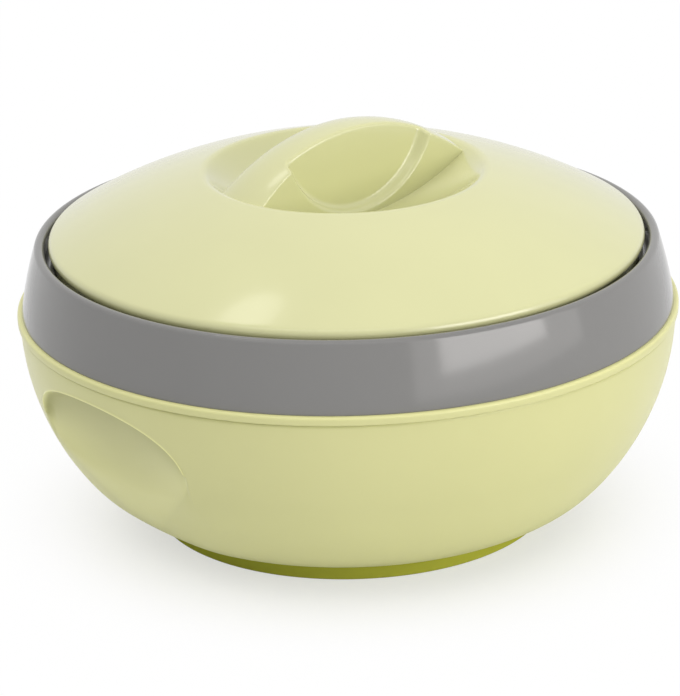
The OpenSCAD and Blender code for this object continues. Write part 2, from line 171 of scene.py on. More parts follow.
class LunchBoxColours(bpy.types.PropertyGroup):
    """Colours of the finishes."""

    lid: bpy.props.FloatVectorProperty(
        name="Lid", description="Moulded plastic of the lid", subtype="COLOR",
        size=3, min=0.0, max=1.0, default=(0.618, 0.625, 0.333))
    bowl: bpy.props.FloatVectorProperty(
        name="Bowl", description="Moulded plastic of the outer bowl", subtype="COLOR",
        size=3, min=0.0, max=1.0, default=(0.605, 0.603, 0.287))
    # The foot colour is partly the thick plastic's and partly painted shade under the bowl
    foot: bpy.props.FloatVectorProperty(
        name="Foot", description="Deeper tone of the bowl's thick foot ring", subtype="COLOR",
        size=3, min=0.0, max=1.0, default=(0.45, 0.465, 0.06))
    grey: bpy.props.FloatVectorProperty(
        name="Grey", description="Moulded plastic of the collar", subtype="COLOR",
        size=3, min=0.0, max=1.0, default=(0.193, 0.193, 0.188))
    steel: bpy.props.FloatVectorProperty(
        name="Steel", description="Spun steel of the food bowl", subtype="COLOR",
        size=3, min=0.0, max=1.0, default=(0.60, 0.60, 0.59))
    silicone: bpy.props.FloatVectorProperty(
        name="Silicone", description="Gasket and seal", subtype="COLOR",
        size=3, min=0.0, max=1.0, default=(0.74, 0.75, 0.73))
    white: bpy.props.FloatVectorProperty(
        name="White", description="Moulded plastic of the lid's inner cup", subtype="COLOR",
        size=3, min=0.0, max=1.0, default=(0.80, 0.80, 0.77))
    foam: bpy.props.FloatVectorProperty(
        name="Foam", description="Rigid foam between the shells", subtype="COLOR",
        size=3, min=0.0, max=1.0, default=(0.80, 0.72, 0.47))


class LunchBoxStage(bpy.types.PropertyGroup):
    """Light of the studio."""

    ambient: bpy.props.FloatProperty(
        name="Ambient", description="Even light from all round", default=0.3, min=0.0, max=1.0)
    backdrop: bpy.props.FloatProperty(
        name="Backdrop", description="Brightness of the far backdrop as gloss shows it",
        default=0.84, min=0.0, max=1.0)
    overhead: bpy.props.FloatProperty(
        name="Overhead", description="Brightness of the wide softbox above",
        default=1.03, min=0.0, max=10.0)
    key: bpy.props.FloatProperty(
        name="Key", description="Brightness of the softbox at the camera's right",
        default=3.2, min=0.0, max=10.0)
    side: bpy.props.FloatProperty(
        name="Side", description="Brightness of the wide panel at the camera's right",
        default=0.98, min=0.0, max=10.0)
    left: bpy.props.FloatProperty(
        name="Left", description="Brightness of the round softbox above at the camera's left",
        default=1.9, min=0.0, max=10.0)
    front: bpy.props.FloatProperty(
        name="Front", description="Brightness of the strip above the camera",
        default=0.9, min=0.0, max=10.0)
    rim: bpy.props.FloatProperty(
        name="Rim", description="Brightness of the panel behind at the camera's left",
        default=0.65, min=0.0, max=10.0)


# Section drawing

def arc(centre, radius, start, end, count):
    """Points of an arc, from one angle to another in degrees."""
    a = np.radians(np.linspace(start, end, count))
    return np.stack([centre[0] + radius * np.cos(a), centre[1] + radius * np.sin(a)], axis=1)


def corner(x, z, radius=0.0):
    """One point of a section, with the radius that rounds it."""
    return np.array([[x, z, radius]])


def section(*runs, steps=5):
    """A closed section from arcs and single corners, the corners rounded by their radii."""
    pts = np.concatenate([r if r.shape[1] == 3 else np.pad(r, ((0, 0), (0, 1))) for r in runs])
    keep = np.linalg.norm(pts[:, :2] - np.roll(pts[:, :2], 1, axis=0), axis=1) > 1e-6
    pts = pts[keep]
    out = []
    for i, (x, z, radius) in enumerate(pts):
        here = np.array([x, z])
        if radius <= 0:
            out.append(here)
            continue
        to_last = pts[i - 1, :2] - here
        to_next = pts[(i + 1) % len(pts), :2] - here
        reach = min(np.linalg.norm(to_last), np.linalg.norm(to_next))
        u, v = to_last / np.linalg.norm(to_last), to_next / np.linalg.norm(to_next)
        half = math.acos(max(-1.0, min(1.0, float(u @ v)))) / 2
        leg = min(radius / math.tan(half), 0.95 * reach)
        radius = leg * math.tan(half)
        centre = here + (u + v) / np.linalg.norm(u + v) * radius / math.sin(half)
        first, last = here + u * leg - centre, here + v * leg - centre
        a0 = math.atan2(first[1], first[0])
        turn = (math.atan2(last[1], last[0]) - a0 + math.pi) % (2 * math.pi) - math.pi
        for t in np.linspace(0, 1, steps + 1):
            out.append(centre + radius * np.array([math.cos(a0 + t * turn), math.sin(a0 + t * turn)]))
    return np.array(out)


def two_circles(c0, r0, c1, r1, side):
    """Where two circles cross, on one side of the line between their centres."""
    d = np.linalg.norm(c1 - c0)
    along = (r0 ** 2 - r1 ** 2 + d ** 2) / (2 * d)
    across = math.sqrt(r0 ** 2 - along ** 2)
    u = (c1 - c0) / d
    return c0 + along * u + side * across * np.array([-u[1], u[0]])


def angle_of(p, centre):
    """Direction from a centre to a point, in degrees."""
    return math.degrees(math.atan2(p[1] - centre[1], p[0] - centre[0]))


# Meshes

def new_object(name, points, faces, material=None):
    """A mesh object from points in millimetres."""
    mesh = bpy.data.meshes.new(name)
    mesh.from_pydata((np.asarray(points) * MM).tolist(), [], [tuple(map(int, f)) for f in faces])
    mesh.update()
    if material is not None:
        mesh.materials.append(material)
    obj = bpy.data.objects.new(name, mesh)
    bpy.context.scene.collection.objects.link(obj)
    return obj


def close_up(obj, sharp_angle=None):
    """Merges doubles, turns the faces outwards and shades them smooth."""
    bm = bmesh.new()
    bm.from_mesh(obj.data)
    bmesh.ops.remove_doubles(bm, verts=bm.verts, dist=MERGE_DISTANCE)
    bmesh.ops.dissolve_degenerate(bm, edges=bm.edges, dist=1e-7)
    bmesh.ops.recalc_face_normals(bm, faces=bm.faces)
    for face in bm.faces:
        face.smooth = True
    bm.to_mesh(obj.data)
    bm.free()
    if sharp_angle is not None:
        obj.data.set_sharp_from_angle(angle=math.radians(sharp_angle))
    obj.data.update()


def settle(obj):
    """Turns the result of an object's modifiers into its plain mesh."""
    deps = bpy.context.evaluated_depsgraph_get()
    mesh = bpy.data.meshes.new_from_object(
        obj.evaluated_get(deps), preserve_all_data_layers=True, depsgraph=deps)
    raw = obj.data
    obj.modifiers.clear()
    obj.data = mesh
    bpy.data.meshes.remove(raw)
    mesh.name = obj.name


def seat(obj, body, slot, *nodes):
    """The finished piece rides on its body and stands for its CAD nodes; the slot it is given is not used.
    """
    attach(obj, body)
    if nodes:
        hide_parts(*nodes)


def set_inputs(modifier, **values):
    """Sets a modifier's inputs, each by its socket's identifier."""
    wanted = {key.replace("_", " "): value for key, value in values.items()}
    for item in modifier.node_group.interface.items_tree:
        if item.in_out == "INPUT" and item.name in wanted:
            modifier[item.identifier] = wanted.pop(item.name)
    if wanted:
        raise KeyError(f"no such inputs: {sorted(wanted)}")


def new_tree(name, inputs):
    """A geometry tree with a geometry input and output and more named inputs."""
    tree = bpy.data.node_groups.new(name, "GeometryNodeTree")
    tree.is_modifier = True
    tree.interface.new_socket("Geometry", in_out="INPUT", socket_type="NodeSocketGeometry")
    for label, kind in inputs:
        tree.interface.new_socket(label, in_out="INPUT", socket_type=kind)
    tree.interface.new_socket("Geometry", in_out="OUTPUT", socket_type="NodeSocketGeometry")
    return tree, tree.nodes.new("NodeGroupInput"), tree.nodes.new("NodeGroupOutput")


def feed(tree, node, values):
    """Feeds a node's inputs, by order or by name, with sockets or plain values."""
    for key, value in values.items() if isinstance(values, dict) else enumerate(values):
        if isinstance(value, bpy.types.NodeSocket):
            tree.links.new(value, node.inputs[key])
        else:
            node.inputs[key].default_value = value


def add_node(tree, kind, values=(), **settings):
    """A node with its settings made and its inputs fed."""
    node = tree.nodes.new(kind)
    for key, value in settings.items():
        setattr(node, key, value)
    feed(tree, node, values)
    return node


def math_node(tree, operation, *values):
    """A Math node's output."""
    return add_node(tree, "ShaderNodeMath", values, operation=operation).outputs[0]


def finish_tree(tree, geometry, source, out):
    """The end of every tree: instances made real, then the finish."""
    real = add_node(tree, "GeometryNodeRealizeInstances", {"Geometry": geometry})
    paint = add_node(tree, "GeometryNodeSetMaterial", {
        "Geometry": real.outputs["Geometry"], "Material": source.outputs["Finish"]})
    feed(tree, out, {"Geometry": paint.outputs["Geometry"]})


def turned_tree():
    """Turns a section about the upright axis: a grid whose rows are the section's points."""
    name = "Turned section"
    if name in bpy.data.node_groups:
        return bpy.data.node_groups[name]
    tree, source, out = new_tree(name, [("Steps", "NodeSocketInt"), ("Finish", "NodeSocketMaterial")])
    line, steps = source.outputs["Geometry"], source.outputs["Steps"]
    count = add_node(tree, "GeometryNodeAttributeDomainSize", {"Geometry": line}).outputs["Point Count"]
    grid = add_node(tree, "GeometryNodeMeshGrid", {
        "Vertices X": math_node(tree, "ADD", steps, 1), "Vertices Y": count})
    index = add_node(tree, "GeometryNodeInputIndex").outputs["Index"]
    step = math_node(tree, "FLOOR", math_node(tree, "DIVIDE", math_node(tree, "ADD", index, 0.5), count))
    along = math_node(tree, "SUBTRACT", index, math_node(tree, "MULTIPLY", step, count))
    point = add_node(tree, "GeometryNodeInputPosition").outputs["Position"]
    sample = add_node(tree, "GeometryNodeSampleIndex", {"Geometry": line, "Value": point, "Index": along},
                      data_type="FLOAT_VECTOR", domain="POINT")
    turn = math_node(tree, "DIVIDE", math_node(tree, "MULTIPLY", step, 2 * math.pi), steps)
    rotate = add_node(tree, "ShaderNodeVectorRotate", {"Vector": sample.outputs["Value"], "Angle": turn},
                      rotation_type="Z_AXIS")
    place = add_node(tree, "GeometryNodeSetPosition", {
        "Geometry": grid.outputs["Mesh"], "Position": rotate.outputs["Vector"]})
    merge = add_node(tree, "GeometryNodeMergeByDistance", {
        "Geometry": place.outputs["Geometry"], "Distance": MERGE_DISTANCE})
    finish_tree(tree, merge.outputs["Geometry"], source, out)
    return tree


def ring_tree():
    """Repeats one piece round the upright axis."""
    name = "Ring of copies"
    if name in bpy.data.node_groups:
        return bpy.data.node_groups[name]
    tree, source, out = new_tree(name, [
        ("Count", "NodeSocketInt"), ("Start", "NodeSocketFloat"), ("Finish", "NodeSocketMaterial")])
    count = source.outputs["Count"]
    line = add_node(tree, "GeometryNodeMeshLine", {"Count": count, "Offset": (0, 0, 0)})
    index = add_node(tree, "GeometryNodeInputIndex").outputs["Index"]
    share = math_node(tree, "DIVIDE", math_node(tree, "MULTIPLY", index, 2 * math.pi), count)
    turn = math_node(tree, "ADD", share, source.outputs["Start"])
    spin = add_node(tree, "ShaderNodeCombineXYZ", {"Z": turn})
    copies = add_node(tree, "GeometryNodeInstanceOnPoints", {
        "Points": line.outputs["Mesh"], "Instance": source.outputs["Geometry"],
        "Rotation": spin.outputs["Vector"]})
    finish_tree(tree, copies.outputs["Instances"], source, out)
    return tree


def turned(name, outline, material, steps=None):
    """A piece turned from a closed section, which ends where it begins."""
    pts = np.concatenate([outline, outline[:1]])
    flat = np.stack([pts[:, 0], np.zeros(len(pts)), pts[:, 1]], axis=1)
    obj = new_object(name, flat, [])
    mod = obj.modifiers.new("Turned section", "NODES")
    mod.node_group = turned_tree()
    set_inputs(mod, Steps=steps or bpy.context.scene.lunchbox_sizes.turn_steps, Finish=material)
    settle(obj)
    close_up(obj)
    return obj


def ring_of(obj, count, start, material):
    """Repeats an object's mesh round the axis, the first at a start angle in degrees."""
    mod = obj.modifiers.new("Ring of copies", "NODES")
    mod.node_group = ring_tree()
    set_inputs(mod, Count=count, Start=math.radians(start), Finish=material)
    settle(obj)
    close_up(obj)
    return obj


def arc_bar(name, low_r, high_r, low_z, high_z, span, edge, lead=0.0):
    """A bar bent round the axis, with rounded edges and ends that draw in over a lead angle."""
    angles = np.linspace(-span / 2, span / 2, max(8, int(span)) + 1)
    rings = []
    for a in angles:
        near_end = (span / 2 - abs(a)) / lead if lead > 0 else 1.0
        draw = 1.0 - max(0.0, min(1.0, near_end))
        drop = draw * END_DROP * (high_z - low_z)
        ring = section(
            corner(low_r, low_z + drop / 3), corner(high_r - draw * edge, low_z + drop / 3, edge),
            corner(high_r - draw * edge, high_z - drop, edge), corner(low_r, high_z - drop), steps=3)
        c, s = math.cos(math.radians(a)), math.sin(math.radians(a))
        rings.append(np.stack([ring[:, 0] * c, ring[:, 0] * s, ring[:, 1]], axis=1))
    n = len(rings[0])
    faces = [(k * n + i, k * n + (i + 1) % n, (k + 1) * n + (i + 1) % n, (k + 1) * n + i)
             for k in range(len(rings) - 1) for i in range(n)]
    faces += [tuple(range(n)), tuple(range((len(rings) - 1) * n, len(rings) * n))]
    return new_object(name, np.concatenate(rings), faces)


# Shapes given by a field, negative inside

def meet(a, b, radius):
    """What lies in both, its edge rounded by a radius."""
    u, v = np.maximum(radius + a, 0), np.maximum(radius + b, 0)
    return np.sqrt(u * u + v * v) + np.minimum(-radius, np.maximum(a, b))


def slopes(field, p, h=1e-3):
    """A field's gradient at points."""
    out = np.empty_like(p)
    for k in range(3):
        step = np.zeros(3)
        step[k] = h
        out[:, k] = (field(*(p + step).T) - field(*(p - step).T)) / (2 * h)
    return out


def net(field, low, high, step):
    """A mesh of a field's zero surface: one point in each cell that it crosses, then drawn onto it."""
    axes = [np.arange(lo, hi + step, step) for lo, hi in zip(low, high)]
    values = field(*np.meshgrid(*axes, indexing="ij"))
    inside = values < 0
    size = np.array(inside.shape) - 1
    corners = [(i, j, k) for i in (0, 1) for j in (0, 1) for k in (0, 1)]
    full = sum(inside[i:i + size[0], j:j + size[1], k:k + size[2]].astype(np.int8) for i, j, k in corners)
    live = (full > 0) & (full < 8)
    number = np.full(live.shape, -1)
    number[live] = np.arange(live.sum())
    cells = np.argwhere(live)
    total, hits = np.zeros((len(cells), 3)), np.zeros(len(cells))
    for a in corners:
        for axis in range(3):
            if a[axis]:
                continue
            b = tuple(1 if k == axis else a[k] for k in range(3))
            va, vb = values[tuple((cells + a).T)], values[tuple((cells + b).T)]
            cut = (va < 0) != (vb < 0)
            spot = cells[cut] + np.array(a, float)
            spot[:, axis] += va[cut] / (va[cut] - vb[cut])
            total[cut] += spot
            hits[cut] += 1
    points = np.array(low) + step * total / hits[:, None]
    for _ in range(5):
        g = slopes(field, points)
        move = field(*points.T) / np.maximum((g * g).sum(1), 1e-6)
        points -= np.clip(move, -step, step)[:, None] * g
    quads = []
    for axis in range(3):
        u, v = (axis + 1) % 3, (axis + 2) % 3
        here = np.take(inside, range(size[axis]), axis=axis)
        there = np.take(inside, range(1, size[axis] + 1), axis=axis)
        at = np.argwhere(here != there)
        at = at[(at[:, u] > 0) & (at[:, v] > 0) & (at[:, u] < size[u]) & (at[:, v] < size[v])]
        ring = []
        for du, dv in ((1, 1), (0, 1), (0, 0), (1, 0)):
            cell = at.copy()
            cell[:, u] -= du
            cell[:, v] -= dv
            ring.append(number[tuple(cell.T)])
        quad = np.stack(ring, axis=1)
        back = ~here[tuple(at.T)]
        quad[back] = quad[back][:, ::-1]
        quads.append(quad)
    return points, np.concatenate(quads)


# Finishes

def start_finish(mat):
    """A new material's tree, its Principled shader and Object coordinates."""
    mat.use_nodes = True
    tree = mat.node_tree
    return tree, tree.nodes["Principled BSDF"], add_node(tree, "ShaderNodeTexCoord").outputs["Object"]


def noise(tree, coords, scale, detail=3.0):
    """A noise pattern; scale in turns per metre."""
    pattern = add_node(tree, "ShaderNodeTexNoise", {"Vector": coords, "Scale": scale, "Detail": detail})
    return pattern.outputs["Fac"]


def tint(tree, factor, dark, light, low=0.3, high=0.7):
    """A colour that drifts between two tints."""
    ramp = add_node(tree, "ShaderNodeValToRGB", {"Fac": factor})
    for element, position, colour in zip(ramp.color_ramp.elements, (low, high), (dark, light)):
        element.position = position
        element.color = (*colour, 1)
    return ramp.outputs["Color"]


def carried(tree, value, from_low, from_high, to_low=0.0, to_high=1.0, curve="LINEAR"):
    """A number carried from one range to another and held within it."""
    return add_node(tree, "ShaderNodeMapRange", (value, from_low, from_high, to_low, to_high),
                    interpolation_type=curve).outputs["Result"]


def spread(tree, factor, low, high):
    """A number that drifts between two values."""
    return carried(tree, factor, 0.3, 0.7, low, high)


def bump(tree, shader, height, strength, distance):
    """Relief from a height pattern; distance in metres."""
    node = add_node(tree, "ShaderNodeBump", {"Strength": strength, "Distance": distance, "Height": height})
    feed(tree, shader, {"Normal": node.outputs["Normal"]})


def plan_and_height(tree, coords):
    """Distance from the upright axis, and height."""
    plan = add_node(tree, "ShaderNodeVectorMath", (coords, (1, 1, 0)), operation="MULTIPLY")
    radius = add_node(tree, "ShaderNodeVectorMath", (plan.outputs["Vector"],), operation="LENGTH")
    parts = add_node(tree, "ShaderNodeSeparateXYZ", (coords,))
    return radius.outputs["Value"], parts.outputs["Z"]


def scaled(colour, factor):
    """A colour made darker or lighter."""
    return tuple(min(1.0, c * factor) for c in colour)


def kept(make):
    """Makes a finish when it is first asked for, and gives the same material from then on."""

    @functools.wraps(make)
    def finish():
        if make.__name__ not in bpy.data.materials:
            make(bpy.data.materials.new(make.__name__), bpy.context.scene.lunchbox_colours)
        return bpy.data.materials[make.__name__]

    return finish


def moulded(mat, colour, rough, gloss=0.5, coat=0.0, drift=0.015):
    """Moulded plastic: flow drift in its colour, a smooth skin with a faint drift in its gloss."""
    tree, shader, coords = start_finish(mat)
    flow, skin = noise(tree, coords, 18.0), noise(tree, coords, 40.0)
    feed(tree, shader, {
        "Base Color": tint(tree, flow, scaled(colour, 1 - drift), scaled(colour, 1 + drift)),
        "Roughness": spread(tree, skin, rough - drift, rough + drift),
        "IOR": 1.5, "Specular IOR Level": gloss, "Coat Weight": coat, "Coat Roughness": 0.1})
    return tree, shader, coords


@kept
def lime_plastic(mat, colours):
    """The lid's plastic, polished and paler than the bowl's."""
    moulded(mat, colours.lid, 0.2, coat=0.7)


@kept
def grey_plastic(mat, colours):
    """The collar's plastic."""
    moulded(mat, colours.grey, 0.12, coat=0.25)


@kept
def white_plastic(mat, colours):
    """The inner cup's plastic."""
    moulded(mat, colours.white, 0.32)


@kept
def bowl_plastic(mat, colours):
    """The bowl's plastic, which follows the mesh's painted light and shade, and is deeper at the foot ring,
    partly for its thick plastic and partly as painted shade.
    """
    gloss = 0.4
    tree, shader, coords = moulded(mat, colours.bowl, 0.32, gloss)
    radius, height = plan_and_height(tree, coords)
    # Painted light and shade from the mesh: the colour is paler where it is above zero and darker below it,
    # and the painted shade dulls the gloss
    tone = add_node(tree, "ShaderNodeAttribute", attribute_name="tone").outputs["Fac"]
    painted_scale = math_node(tree, "MULTIPLY_ADD", tone, PAINTED_SHADING_STRENGTH, 1.0)
    flow = shader.inputs["Base Color"].links[0].from_socket
    painted_colour = add_node(tree, "ShaderNodeVectorMath", {"Vector": flow, "Scale": painted_scale}, operation="SCALE")
    # The foot ring's deep colour: partly its thick plastic, partly painted shade under the bowl
    above = carried(tree, height, FOOT_TONE_LOW_Z * MM, FOOT_TONE_HIGH_Z * MM, curve="SMOOTHSTEP")
    within = carried(tree, radius, FOOT_TONE_IN_R * MM, FOOT_TONE_OUT_R * MM, 1.0, 0.0, "SMOOTHSTEP")
    pale = math_node(tree, "MAXIMUM", above, within)
    mix = add_node(tree, "ShaderNodeMixRGB", {
        "Fac": pale, "Color1": (*colours.foot, 1), "Color2": painted_colour.outputs["Vector"]})
    gloss_under_painted_shade = carried(tree, tone, -1.0, 0.0, 0.0, gloss)
    feed(tree, shader, {
        "Base Color": mix.outputs["Color"], "Specular IOR Level": math_node(tree, "MULTIPLY", pale, gloss_under_painted_shade)})


@kept
def spun_steel(mat, colours):
    """Spun steel: fine rings about the axis in its colour, gloss and relief."""
    tree, shader, coords = start_finish(mat)
    ring = add_node(tree, "ShaderNodeCombineXYZ", plan_and_height(tree, coords)).outputs["Vector"]
    lines = noise(tree, ring, 2600.0, 4.0)
    feed(tree, shader, {
        "Base Color": tint(tree, lines, scaled(colours.steel, 0.93), scaled(colours.steel, 1.05)),
        "Roughness": spread(tree, lines, 0.20, 0.32), "Metallic": 1.0})
    bump(tree, shader, lines, 0.15, 0.00002)


@kept
def soft_silicone(mat, colours):
    """Silicone: milky, dull and slightly dusty."""
    tree, shader, coords = start_finish(mat)
    dust = noise(tree, coords, 60.0)
    feed(tree, shader, {
        "Base Color": tint(tree, dust, scaled(colours.silicone, 0.95), scaled(colours.silicone, 1.03)),
        "Roughness": spread(tree, dust, 0.48, 0.6)})
    bump(tree, shader, noise(tree, coords, 1200.0), 0.2, 0.00003)


@kept
def rigid_foam(mat, colours):
    """Rigid foam: closed cells."""
    tree, shader, coords = start_finish(mat)
    cells = add_node(tree, "ShaderNodeTexVoronoi", {"Vector": coords, "Scale": 700.0}).outputs["Distance"]
    feed(tree, shader, {
        "Base Color": tint(tree, cells, scaled(colours.foam, 1.05), scaled(colours.foam, 0.8), 0.1, 0.6),
        "Roughness": spread(tree, noise(tree, coords, 90.0), 0.8, 0.92)})
    bump(tree, shader, cells, 0.5, 0.0003)


# Pieces

def ease(t):
    """A soft step from 0 to 1."""
    t = np.clip(t, 0, 1)
    return t * t * (3 - 2 * t)


def scoop_surface(z, angles, sizes):
    """Distance from the axis at which the finger scoops' surface lies, at given heights and angles."""
    floor_x = sizes.scoop_floor / MM
    reach = WALL_C[0] + math.sqrt(WALL_R ** 2 - (WALL_C[1] - SCOOP_TOP_Z) ** 2) - floor_x
    hook_r = ((SCOOP_TOP_Z - SCOOP_FLOOR_Z) ** 2 + reach ** 2) / (2 * reach)
    drop = z - SCOOP_FLOOR_Z
    hook = floor_x + hook_r - np.sqrt(np.maximum(hook_r ** 2 - drop ** 2, 0))
    runout = floor_x - SCOOP_RUNOUT_R + np.sqrt(np.maximum(SCOOP_RUNOUT_R ** 2 - drop ** 2, 0))
    axis_x = floor_x + SCOOP_PLAN_R
    plan_r = axis_x - np.where(drop > 0, hook, runout)
    across = axis_x * np.sin(angles)
    return axis_x * np.abs(np.cos(angles)) - np.sqrt(np.maximum(plan_r ** 2 - across ** 2, 0))


def scooped(r, z, angles, sizes, inset):
    """Radii of a wall after the finger scoops have cut into it: crisp above, run out softly below."""
    cut = scoop_surface(z, angles, sizes) - inset
    crisp = ease((z - SCOOP_SOFT_Z) / SCOOP_SOFT_H)
    soft = (sizes.scoop_fade + (sizes.scoop_edge - sizes.scoop_fade) * crisp) / MM
    pressed = np.minimum(r, cut) - np.maximum(soft - np.abs(r - cut), 0) ** 2 / (4 * soft)
    near = (np.abs(np.cos(angles)) > SCOOP_COS) & (z < SCAN_HIGH_Z)
    return np.where(near, pressed, r)


def foot_lift(z):
    """How far the underside stands above the CAD's near the foot ring, dying out upwards."""
    return FOOT_LIFT * np.clip((FOOT_LIFT_TOP_Z - z) / FOOT_LIFT_H, 0, 1) ** 2


def outer_wall():
    """The bowl's outer section from its foot to its lip, and the length along it."""
    blend = angle_of(CORNER_C, WALL_C)
    start = -math.degrees(math.acos((FOOT_JOIN_R - CORNER_C[0]) / CORNER_R))
    top = math.degrees(math.asin((LIP_LOW_Z - LIP_GROOVE_H - WALL_C[1]) / WALL_R))
    line = np.concatenate([
        arc(CORNER_C, CORNER_R, start, blend, CORNER_POINTS),
        arc(WALL_C, WALL_R, blend, top, WALL_POINTS)[1:]])
    line[:, 1] += foot_lift(line[:, 1])
    return line, np.concatenate([[0], np.cumsum(np.linalg.norm(np.diff(line, axis=0), axis=1))])


def scoop_edges(angles, sizes, line):
    """Where a scoop cuts the wall at each angle: whether it does, and its lower and upper edge."""
    heights = np.arange(SCAN_LOW_Z, SCAN_HIGH_Z, SCAN_STEP)
    wall = np.interp(heights, line[:, 1], line[:, 0])[:, None]
    depth = wall - scoop_surface(heights[:, None], angles, sizes)
    cut = (depth > 0) & (np.abs(np.cos(angles)) > SCOOP_COS)
    live = cut.any(axis=0)
    low = heights[np.argmax(cut, axis=0)]
    last = len(heights) - 1 - np.argmax(cut[::-1], axis=0)
    at_last = np.take_along_axis(depth, last[None], 0)[0]
    step = at_last - np.take_along_axis(depth, last[None] + live, 0)[0]
    return live, low, heights[last] + SCAN_STEP * at_last / np.maximum(step, 1e-9)


def wall_rows(angles, sizes):
    """Radii, heights, relief and painted light and shade of the outer wall, its rows drawn together along
    the scoops' edges.
    """
    line, run = outer_wall()
    live, low, high = scoop_edges(angles, sizes, line)
    tall = np.where(live, high - low, 0)
    off = np.abs((angles + math.pi / 2) % math.pi - math.pi / 2)
    tip = np.argmax(np.where(live, off, 0))
    middle = np.where(live, (low + high) / 2, (low[tip] + high[tip]) / 2)
    apart = LEAST_HALF + PLAIN_HALF * ease((off - off[tip]) / math.radians(SPREAD_DEG))
    half = np.where(live, np.maximum(tall / 2, LEAST_HALF), apart)
    bottom, top = (np.interp(middle + side * half, line[:, 1], run) for side in (-1, 1))
    below, within, above = (np.linspace(0, 1, n + 1)[1:, None] for n in ROWS)
    along = np.concatenate([
        bottom * below, bottom + (top - bottom) * (1 - (1 - within) ** ROW_DRAW),
        top + (run[-1] - top) * above ** ROW_DRAW])
    past = along - top
    ridge = sizes.scoop_ridge / MM * np.clip(tall / RIDGE_FULL, 0, 1)
    hollow = sizes.scoop_undercut / MM * np.clip(tall / HOLLOW_FULL, 0, 1)
    under = np.maximum(-past, 0) / HOLLOW_REACH
    relief = ridge * np.exp(-(past / RIDGE_W) ** 2) - hollow * under * np.exp(1 - under)
    # Painted shade just under a scoop's upper edge, a painted highlight line along it, and painted light on
    # its run-out below
    into = np.clip(-past / (top - bottom), 0, 1)
    painted_shade = (1 - into) ** 2 * (1 - np.exp(np.minimum(past, 0) / PAINTED_SHADE_REACH))
    light = np.exp(-(past / PAINTED_LINE_W) ** 2) + RUNOUT_PAINTED_LIGHT * into ** 2 * (1 - into)
    tone = np.clip(tall / PAINTED_SHADING_FULL, 0, 1) * (light - painted_shade)
    return np.interp(along, run, line[:, 0]), np.interp(along, run, line[:, 1]), relief, tone


def bowl_runs():
    """The rest of the bowl's section: below the wall, lip, then the inside."""
    blend = angle_of(CORNER_C, WALL_C)
    foot_top, wall_low = (
        CORNER_C[1] - math.sqrt(CORNER_R ** 2 - (r - CORNER_C[0]) ** 2) for r in (FOOT_R, FOOT_JOIN_R))
    in_r = WALL_C[0] + WALL_R - BOWL_WALL
    lip_out = CAD_BOX[1][0] / MM
    # Points that only close a section for its rounding are cut off again
    under = section(
        corner(PLUG_R, FLOOR_Z, 0.3), corner(FOOT_R - FOOT_T, FLOOR_Z, 1.0),
        corner(FOOT_R - FOOT_T, 0, 0.8), corner(FOOT_R, 0, 0.8),
        corner(FOOT_R, foot_top + foot_lift(foot_top), 0.8),
        corner(FOOT_JOIN_R, wall_low + foot_lift(wall_low)),
        corner(40, 40), corner(PLUG_R, 20), steps=4)[:-2]
    wall_r = WALL_C[0] + math.sqrt(WALL_R ** 2 - (LIP_LOW_Z - WALL_C[1]) ** 2)
    lip = section(
        corner(wall_r - 0.02, LIP_LOW_Z - 2.0), corner(wall_r - LIP_GROOVE_DEPTH, LIP_LOW_Z, 0.25),
        corner(lip_out, LIP_LOW_Z, 0.5), corner(lip_out, BOWL_EDGE_Z, 1.1),
        corner(in_r, BOWL_EDGE_Z, 0.4), corner(in_r, WALL_C[1]), corner(60, 60), steps=4)[1:-2]
    inner = np.concatenate([arc(WALL_C, WALL_R - BOWL_WALL, 0, blend, 26),
                            arc(CORNER_C, CORNER_R - BOWL_WALL, blend, -90, 16)[1:]])
    floor = np.array([[40.0, FLOOR_Z + BOWL_WALL], [PLUG_R, FLOOR_Z + BOWL_WALL]])
    return under, lip, inner, floor


def foam_cap(name, low_z, wall, material):
    """The cap on a foam hole: a dished face flush with the wall's outside, a flange on its inside."""
    stem_r, dish_z, top_z = PLUG_R - PLUG_GAP, low_z + DISH_DEPTH, low_z + wall
    outline = section(
        corner(0, dish_z), corner(DISH_R, dish_z, 0.4), corner(DISH_RIM_R, low_z, 0.4),
        corner(stem_r, low_z, 0.4), corner(stem_r, top_z), corner(PLUG_FLANGE_R, top_z, 0.3),
        corner(PLUG_FLANGE_R, top_z + PLUG_T, 0.3), corner(0, top_z + PLUG_T), steps=3)
    return turned(name, outline, material, steps=CAP_STEPS)


